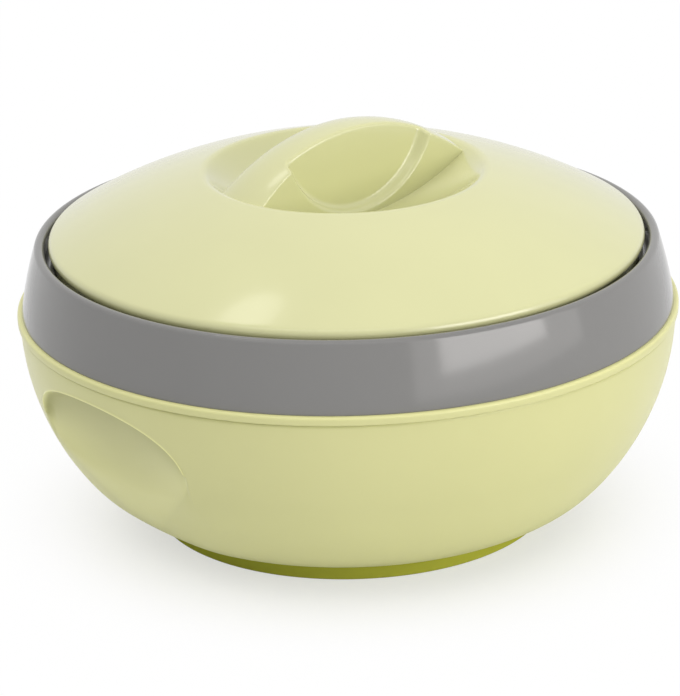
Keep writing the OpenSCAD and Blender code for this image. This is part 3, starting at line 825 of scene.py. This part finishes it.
class LUNCHBOX_OT_outer_bowl(bpy.types.Operator):
    """Moulded outer bowl with its lip, its foot ring and a finger scoop in each side"""

    bl_idname = "lunchbox.outer_bowl"
    bl_label = "Outer bowl"

    def execute(self, context):
        sizes = context.scene.lunchbox_sizes
        near = np.arange(-FINE_DEG, FINE_DEG, FINE_STEP)
        far = np.arange(FINE_DEG, 180.0 - FINE_DEG, COARSE_STEP)
        angles = np.radians(np.concatenate([near, far, near + 180.0, far + 180.0]))
        under, lip, inner, floor = (run[:, :, None] + np.zeros(len(angles)) for run in bowl_runs())
        wall_r, wall_z, relief, wall_painted_shading = wall_rows(angles, sizes)
        wall_r = scooped(wall_r, wall_z, angles, sizes, 0.0) + relief
        inner[:, 0] = scooped(inner[:, 0], inner[:, 1], angles, sizes, SCOOP_WALL)
        r = np.concatenate([under[:, 0], wall_r, lip[:, 0], inner[:, 0], floor[:, 0]])
        z = np.concatenate([under[:, 1], wall_z, lip[:, 1], inner[:, 1], floor[:, 1]])
        points = np.stack([r * np.cos(angles), r * np.sin(angles), z], axis=2).reshape(-1, 3)
        n, m = r.shape
        i, j = np.meshgrid(np.arange(n), np.arange(m), indexing="ij")
        i2, j2 = (i + 1) % n, (j + 1) % m
        faces = np.stack([i * m + j, i * m + j2, i2 * m + j2, i2 * m + j], axis=2).reshape(-1, 4)
        bowl = new_object("bowl_shell", points, faces, bowl_plastic())
        # Painted light low on the wall, a painted highlight on the lip's edge, and the scoops' painted
        # highlight and shade
        low_light_share = np.clip((LOW_PAINTED_LIGHT_TOP_Z - z) / LOW_PAINTED_LIGHT_H, 0, 1)
        lip_highlight_share = np.clip((z - LIP_PAINTED_HIGHLIGHT_LOW_Z) / LIP_PAINTED_HIGHLIGHT_H, 0, 1)
        tone = LOW_PAINTED_LIGHT * low_light_share + LIP_PAINTED_HIGHLIGHT * lip_highlight_share
        tone[len(under):len(under) + len(wall_painted_shading)] += wall_painted_shading
        layer = bowl.data.attributes.new("tone", "FLOAT", "POINT")
        layer.data.foreach_set("value", tone.astype(np.float32).ravel())
        close_up(bowl)
        seat(bowl, "base", "lime_shell", "outer_bowl")
        plug = foam_cap("base_cap", FLOOR_Z, BOWL_WALL, lime_plastic())
        seat(plug, "base", "lime_shell", "base_plug")
        return {"FINISHED"}


class LUNCHBOX_OT_collar(bpy.types.Operator):
    """Grey collar with its ledge, its catches and their stops"""

    bl_idname = "lunchbox.collar"
    bl_label = "Collar"

    def execute(self, context):
        centre = two_circles(COLLAR_FOOT, FACE_R, RIM_C, FACE_R - RIM_R, 1)
        low, high = angle_of(COLLAR_FOOT, centre), angle_of(RIM_C, centre)
        inner_r = FACE_R - COLLAR_WALL
        root_z = centre[1] + math.sqrt(inner_r ** 2 - (LEDGE_ROOT_R - centre[0]) ** 2)
        shelf_r = centre[0] + math.sqrt(inner_r ** 2 - (SHELF_Z - centre[1]) ** 2)
        inner = arc(centre, inner_r, angle_of((LEDGE_ROOT_R, root_z), centre),
                    angle_of((shelf_r, SHELF_Z), centre), 12)
        outline = section(
            corner(*COLLAR_FOOT, 0.25), arc(centre, FACE_R, low, high, 28)[1:-1],
            arc(RIM_C, RIM_R, high, 180, 16), corner(COLLAR_IN_R, LEDGE_Z, 0.5),
            corner(LEDGE_R, LEDGE_Z, 0.7), corner(LEDGE_R, LEDGE_LOW_Z, 0.4),
            corner(LEDGE_ROOT_R, LEDGE_LOW_Z, 0.4), inner,
            corner(SPIGOT_R - SPIGOT_T, SHELF_Z), corner(SPIGOT_R - SPIGOT_T, SPIGOT_LOW_Z, 0.5),
            corner(SPIGOT_R, SPIGOT_LOW_Z, 0.5), corner(SPIGOT_R, COLLAR_FOOT[1]))
        grey = grey_plastic()
        collar = turned("collar_band", outline, grey)
        seat(collar, "base", "grey_collar", "collar_ring")
        catch = arc_bar(
            "collar_catches", CATCH_ROOT_R, CATCH_R, CATCH_LOW_Z, CATCH_HIGH_Z, LUG_SPAN, 0.5, 3.0)
        catches = ring_of(catch, LUG_COUNT, CATCH_AT, grey)
        seat(catches, "base", "grey_collar")
        stop = arc_bar("collar_stops", CATCH_ROOT_R, STOP_R, STOP_LOW_Z, STOP_HIGH_Z, STOP_SPAN, 0.4)
        stops = ring_of(stop, LUG_COUNT, STOP_AT, grey)
        seat(stops, "base", "grey_collar")
        return {"FINISHED"}


class LUNCHBOX_OT_steel_bowl(bpy.types.Operator):
    """Spun steel food bowl with its rolled flange and hem"""

    bl_idname = "lunchbox.steel_bowl"
    bl_label = "Steel bowl"

    def execute(self, context):
        centre = (STEEL_R - STEEL_ARC_R, STEEL_FLOOR_Z + STEEL_ARC_R)
        low_z = STEEL_EDGE_Z - STEEL_T
        outline = section(
            corner(0, STEEL_FLOOR_Z), arc(centre, STEEL_ARC_R, -90, 0, 48),
            corner(STEEL_R, STEEL_EDGE_Z, 1.6), corner(STEEL_HEM_R, STEEL_EDGE_Z, 0.8),
            corner(STEEL_HEM_R, STEEL_EDGE_Z - STEEL_HEM_H, 0.2),
            corner(STEEL_HEM_R - STEEL_T, STEEL_EDGE_Z - STEEL_HEM_H, 0.2),
            corner(STEEL_HEM_R - STEEL_T, low_z), corner(STEEL_R + STEEL_T, low_z, 0.9),
            arc(centre, STEEL_ARC_R + STEEL_T, 0, -90, 40), corner(0, STEEL_FLOOR_Z - STEEL_T))
        bowl = turned("steel_food_bowl", outline, spun_steel())
        seat(bowl, "base", "steel_liner", "inner_bowl")
        return {"FINISHED"}


def handle_field(sizes):
    """The handle as a field: waisted from above, arched along, crowned across, a pocket in its near side."""
    edge, pocket_edge = sizes.handle_edge / MM, sizes.pocket_edge / MM

    def field(x, y, z):
        side = np.abs(y) - (HANDLE_HALF_W + WAIST_R - np.sqrt(WAIST_R ** 2 - x * x))
        out = np.hypot(x, z - ARCH_Z) - (ARCH_R + CROWN - CROWN_R)
        back = np.hypot(out, y) - CROWN_R
        bar = meet(side, back, edge)
        rise = HANDLE_HALF_W - POCKET_DEPTH / 2 + y
        draft = np.clip(POCKET_DRAFT * rise, -DRAFT_MOST, DRAFT_MOST)
        pocket = meet(np.hypot(x, z - POCKET_Z) - POCKET_R + draft, rise - POCKET_DEPTH / 2, pocket_edge)
        bar = meet(bar, -pocket, pocket_edge)
        under = np.sqrt(x * x + y * y + (z - WELL_C[1]) ** 2) - (WELL_R + LID_WALL / 2)
        return np.maximum(bar, under)

    return field


def lid_outline(sizes):
    """The lid's section: well, rounded rim, dome, rounded edge, skirt and the inside of its wall."""
    rim = sizes.well_rim / MM
    rim_c = two_circles(DOME_C, DOME_R - rim, WELL_C, WELL_R + rim, -1)
    edge_x = LID_R - EDGE_R
    edge_c = np.array([edge_x, DOME_C[1] + math.sqrt((DOME_R - EDGE_R) ** 2 - edge_x ** 2)])
    rim_in, rim_out, dome_end = angle_of(rim_c, WELL_C), angle_of(rim_c, DOME_C), angle_of(edge_c, DOME_C)
    skirt_from = -math.degrees(math.acos((SKIRT_R - edge_x) / EDGE_R))
    inner_top = two_circles(DOME_C, DOME_R - LID_WALL, WELL_C, WELL_R + LID_WALL, -1)
    seat_top = (SEAT_R, DOME_C[1] + math.sqrt((DOME_R - LID_WALL) ** 2 - SEAT_R ** 2))
    return section(
        arc(WELL_C, WELL_R, -90, rim_in, 48), arc(rim_c, rim, rim_in + 180, rim_out, 10)[1:-1],
        arc(DOME_C, DOME_R, rim_out, dome_end, 56), arc(edge_c, EDGE_R, dome_end, skirt_from, 16)[1:],
        corner(SKIRT_R, SKIRT_LOW_Z, 0.6), corner(SKIRT_R - SKIRT_T, SKIRT_LOW_Z, 0.6),
        corner(SKIRT_R - SKIRT_T, SEAT_Z), corner(SEAT_R, SEAT_Z),
        arc(DOME_C, DOME_R - LID_WALL, angle_of(seat_top, DOME_C), angle_of(inner_top, DOME_C), 20),
        arc(WELL_C, WELL_R + LID_WALL, angle_of(inner_top, WELL_C), -90, 20)[1:])


class LUNCHBOX_OT_lid_shell(bpy.types.Operator):
    """Moulded lid: dome, hand well and arched handle in one, with the lugs on its skirt"""

    bl_idname = "lunchbox.lid_shell"
    bl_label = "Lid shell"

    def execute(self, context):
        sizes = context.scene.lunchbox_sizes
        lime = lime_plastic()
        lid = turned("lid_shell", lid_outline(sizes), lime)
        points, quads = net(handle_field(sizes), HANDLE_LOW, HANDLE_HIGH, HANDLE_CELL)
        handle = new_object("lid_handle", points, quads, lime)
        close_up(handle)
        union = lid.modifiers.new("Handle", "BOOLEAN")
        union.operation = "UNION"
        union.solver = "EXACT"
        union.object = handle
        settle(lid)
        bpy.data.objects.remove(handle)
        close_up(lid, 30.0)
        seat(lid, "lid", "lime_shell", "lid_dome")
        lug = arc_bar("lid_lugs", LUG_ROOT_R, LUG_R, LUG_LOW_Z, LUG_HIGH_Z, LUG_SPAN, 0.6, 5.0)
        lugs = ring_of(lug, LUG_COUNT, 0.0, lime)
        seat(lugs, "lid", "lime_shell")
        return {"FINISHED"}


class LUNCHBOX_OT_lid_inside(bpy.types.Operator):
    """The lid's inner cup, its cap and the silicone gasket in its channel"""

    bl_idname = "lunchbox.lid_inside"
    bl_label = "Lid inside"

    def execute(self, context):
        white = white_plastic()
        cup = turned("lid_cup", section(
            corner(PLUG_R, CUP_LOW_Z, 0.3), corner(CUP_FLAT_R, CUP_LOW_Z, 4.0),
            corner(CUP_RIM_R - 1, SKIRT_LOW_Z, 0.8), corner(CUP_RIM_R, SKIRT_LOW_Z + 1, 0.6),
            corner(CUP_RIM_R, SEAT_Z - FLANGE_T), corner(CUP_FLANGE_R, SEAT_Z - FLANGE_T, 0.3),
            corner(CUP_FLANGE_R, SEAT_Z, 0.3), corner(CUP_RIM_R - CUP_T, SEAT_Z, 0.3),
            corner(CUP_RIM_R - CUP_T, SKIRT_LOW_Z + CUP_T), corner(CUP_FLAT_R, CUP_LOW_Z + CUP_T),
            corner(PLUG_R, CUP_LOW_Z + CUP_T)), white)
        seat(cup, "lid", "white_liner", "lid_liner")
        cap = foam_cap("lid_cap", CUP_LOW_Z, CUP_T, white)
        seat(cap, "lid", "white_liner", "lid_plug")
        bead_x = (GASKET_IN_R + GASKET_OUT_R) / 2
        gasket = turned("lid_gasket_ring", section(
            corner(GASKET_IN_R, GASKET_LOW_Z, 0.4), corner(bead_x - BEAD_R - 0.1, GASKET_LOW_Z),
            arc((bead_x, GASKET_LOW_Z), BEAD_R, 180, 360, 14), corner(bead_x + BEAD_R + 0.1, GASKET_LOW_Z),
            corner(GASKET_OUT_R, GASKET_LOW_Z, 0.4), corner(GASKET_OUT_R, GASKET_HIGH_Z, 0.4),
            corner(GASKET_IN_R, GASKET_HIGH_Z, 0.4), steps=4), soft_silicone())
        seat(gasket, "lid_seal", "silicone", "lid_gasket")
        return {"FINISHED"}


class LUNCHBOX_OT_hidden_parts(bpy.types.Operator):
    """Finishes of the CAD's own foam and seal, which lie inside"""

    bl_idname = "lunchbox.hidden_parts"
    bl_label = "Foam and seal"

    def execute(self, context):
        finishes = {"bowl_foam": rigid_foam, "lid_foam": rigid_foam, "rim_seal": soft_silicone}
        for name, finish in finishes.items():
            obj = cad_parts[name]
            obj.data.materials.clear()
            obj.data.materials.append(finish())
        return {"FINISHED"}


# Stage

VIEW_TURN, VIEW_TILT, VIEW_ROLL = math.radians(-39.3), math.radians(20.58), math.radians(1.42)
VIEW_DISTANCE, VIEW_LENS = 1.523, 206.9
VIEW_TARGET = Vector((-0.0034, 0.0, 0.0633))
FLOOR_HALF, FLOOR_BELOW = 3000.0, 0.1
# Distances on the floor in metres: where the camera's white takes over from the shadow, with its share near
# and far, and where gloss comes to see the backdrop's level
SHADOW_IN, SHADOW_OUT, WHITE_NEAR, WHITE_FAR = 0.08, 0.145, 0.58, 0.98
GLOSS_IN, GLOSS_OUT = 0.2, 0.5


def from_view(right, toward, up):
    """A place given to the right of, towards and above, as the camera sees the object."""
    c, s = math.cos(VIEW_TURN), math.sin(VIEW_TURN)
    return Vector((right * c + toward * s, right * s - toward * c, up))


def add_softbox(name, place, aim, width, height, bright, shape="RECTANGLE", mirrored=True):
    """A softbox that faces a point, as bright as given over its whole face, and may show in gloss."""
    data = bpy.data.lights.new(name, "AREA")
    data.shape = shape
    data.size, data.size_y = width, height
    face = width * height * (1.0 if shape == "RECTANGLE" else math.pi / 4)
    data.energy = bright * math.pi * face
    data.color = (1.0, 0.97, 0.95)
    lamp = bpy.data.objects.new(name, data)
    lamp.location = place
    lamp.visible_glossy = mirrored
    lamp.rotation_euler = (Vector(aim) - Vector(place)).to_track_quat("-Z", "Y").to_euler()
    bpy.context.scene.collection.objects.link(lamp)


class LUNCHBOX_OT_stage(bpy.types.Operator):
    """White floor, softboxes and the camera"""

    bl_idname = "lunchbox.stage"
    bl_label = "Stage"

    def execute(self, context):
        scene = context.scene
        stage = scene.lunchbox_stage
        scene.view_settings.view_transform = "Standard"
        self.add_floor(stage)
        self.add_world(scene, stage)
        down = Vector((0, 0, -1))
        over = from_view(-0.6, -0.25, 1.6)
        add_softbox("overhead_softbox", over, over + down, 4.4, 4.0, stage.overhead, mirrored=False)
        key = from_view(1.07, 0.90, 0.5)
        add_softbox("key_softbox", key, (0, 0, key.z), 1.0, 0.6, stage.key)
        side = from_view(1.9, 1.4, 0.85)
        add_softbox("side_panel", side, (0, 0, side.z), 3.0, 1.6, stage.side)
        left = from_view(-0.43, -0.29, 1.5)
        add_softbox("left_softbox", left, left + down, 0.36, 0.26, stage.left, "ELLIPSE")
        front = from_view(-0.2, 0.95, 1.7)
        add_softbox("front_strip", front, (0, 0, 0), 1.8, 0.45, stage.front)
        rim = from_view(-1.2, -1.8, 0.9)
        add_softbox("rim_panel", rim, (0, 0, rim.z), 2.2, 1.4, stage.rim, mirrored=False)
        self.add_camera(scene)
        return {"FINISHED"}

    def add_floor(self, stage):
        """A floor that the camera sees white beyond the shadow, and gloss sees like the backdrop"""
        mat = bpy.data.materials.new("white_floor")
        tree, shader, coords = start_finish(mat)
        path = add_node(tree, "ShaderNodeLightPath").outputs
        away = add_node(tree, "ShaderNodeVectorMath", (coords,), operation="LENGTH").outputs["Value"]
        shown = carried(tree, away, SHADOW_IN, SHADOW_OUT, WHITE_NEAR, WHITE_FAR, "SMOOTHSTEP")
        mirrored = carried(tree, away, GLOSS_IN, GLOSS_OUT, curve="SMOOTHSTEP")
        share = math_node(tree, "MAXIMUM", math_node(tree, "MULTIPLY", path["Is Camera Ray"], shown),
                          math_node(tree, "MULTIPLY", path["Is Glossy Ray"], mirrored))
        feed(tree, shader, {"Base Color": (0.93, 0.945, 0.97, 1), "Roughness": 0.35})
        glow = add_node(tree, "ShaderNodeEmission", {
            "Strength": carried(tree, path["Is Glossy Ray"], 0.0, 1.0, 1.0, stage.backdrop)})
        mix = add_node(tree, "ShaderNodeMixShader", (
            share, shader.outputs["BSDF"], glow.outputs["Emission"]))
        feed(tree, tree.nodes["Material Output"], {"Surface": mix.outputs["Shader"]})
        mat.cycles.emission_sampling = "NONE"
        points = [(x * FLOOR_HALF, y * FLOOR_HALF, -FLOOR_BELOW)
                  for x, y in ((-1, -1), (1, -1), (1, 1), (-1, 1))]
        floor = new_object("floor", points, [(0, 1, 2, 3)], mat)
        floor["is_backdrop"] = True

    def add_world(self, scene, stage):
        """White for the camera, the backdrop's level in gloss, the ambient level elsewhere"""
        world = bpy.data.worlds.new("white_studio")
        scene.world = world
        world.use_nodes = True
        tree = world.node_tree
        path = add_node(tree, "ShaderNodeLightPath").outputs
        shown = math_node(tree, "MAXIMUM", path["Is Glossy Ray"], path["Is Transmission Ray"])
        level = carried(tree, shown, 0.0, 1.0, stage.ambient, stage.backdrop)
        feed(tree, tree.nodes["Background"], {
            "Color": (1, 1, 1, 1), "Strength": math_node(tree, "MAXIMUM", level, path["Is Camera Ray"])})

    def add_camera(self, scene):
        data = bpy.data.cameras.new("camera")
        data.lens = VIEW_LENS
        data.sensor_width = 36.0
        data.clip_end = 50.0
        camera = bpy.data.objects.new("camera", data)
        back = from_view(0, math.cos(VIEW_TILT), math.sin(VIEW_TILT))
        right = from_view(1, 0, 0)
        up = back.cross(right)
        c, s = math.cos(VIEW_ROLL), math.sin(VIEW_ROLL)
        axes = Matrix((right * c - up * s, right * s + up * c, back)).transposed()
        place = from_view(VIEW_TARGET.x, -VIEW_TARGET.y, VIEW_TARGET.z) + back * VIEW_DISTANCE
        camera.matrix_world = Matrix.Translation(place) @ axes.to_4x4()
        scene.collection.objects.link(camera)
        scene.camera = camera


class LUNCHBOX_PT_build(bpy.types.Panel):
    """Sizes, colours and the build steps"""

    bl_label = "Lunch box"
    bl_idname = "LUNCHBOX_PT_build"
    bl_space_type = "VIEW_3D"
    bl_region_type = "UI"
    bl_category = "Lunch box"

    def draw(self, context):
        for name in GROUPS:
            group = getattr(context.scene, name)
            box = self.layout.box()
            for key in group.bl_rna.properties.keys():
                if key not in {"rna_type", "name"}:
                    box.prop(group, key)
        for operator in OPERATORS:
            self.layout.operator(operator.bl_idname)


GROUPS = {
    "lunchbox_sizes": LunchBoxSizes, "lunchbox_colours": LunchBoxColours, "lunchbox_stage": LunchBoxStage,
}
OPERATORS = (
    LUNCHBOX_OT_outer_bowl, LUNCHBOX_OT_collar, LUNCHBOX_OT_steel_bowl, LUNCHBOX_OT_lid_shell,
    LUNCHBOX_OT_lid_inside, LUNCHBOX_OT_hidden_parts, LUNCHBOX_OT_stage,
)


def register():
    for cls in (*GROUPS.values(), *OPERATORS, LUNCHBOX_PT_build):
        bpy.utils.register_class(cls)
    for name, cls in GROUPS.items():
        setattr(bpy.types.Scene, name, bpy.props.PointerProperty(type=cls))


def unregister():
    for name in GROUPS:
        delattr(bpy.types.Scene, name)
    for cls in reversed((*GROUPS.values(), *OPERATORS, LUNCHBOX_PT_build)):
        bpy.utils.unregister_class(cls)


def main():
    register()
    bpy.ops.lunchbox.outer_bowl()
    bpy.ops.lunchbox.collar()
    bpy.ops.lunchbox.steel_bowl()
    bpy.ops.lunchbox.lid_shell()
    bpy.ops.lunchbox.lid_inside()
    bpy.ops.lunchbox.hidden_parts()
    bpy.ops.lunchbox.stage()
    boxes = {"cad": CAD_BOX, "visual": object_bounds()}
    {key: [list(map(float, c)) for c in box] for key, box in boxes.items()}


if __name__ == "__main__":
    main()
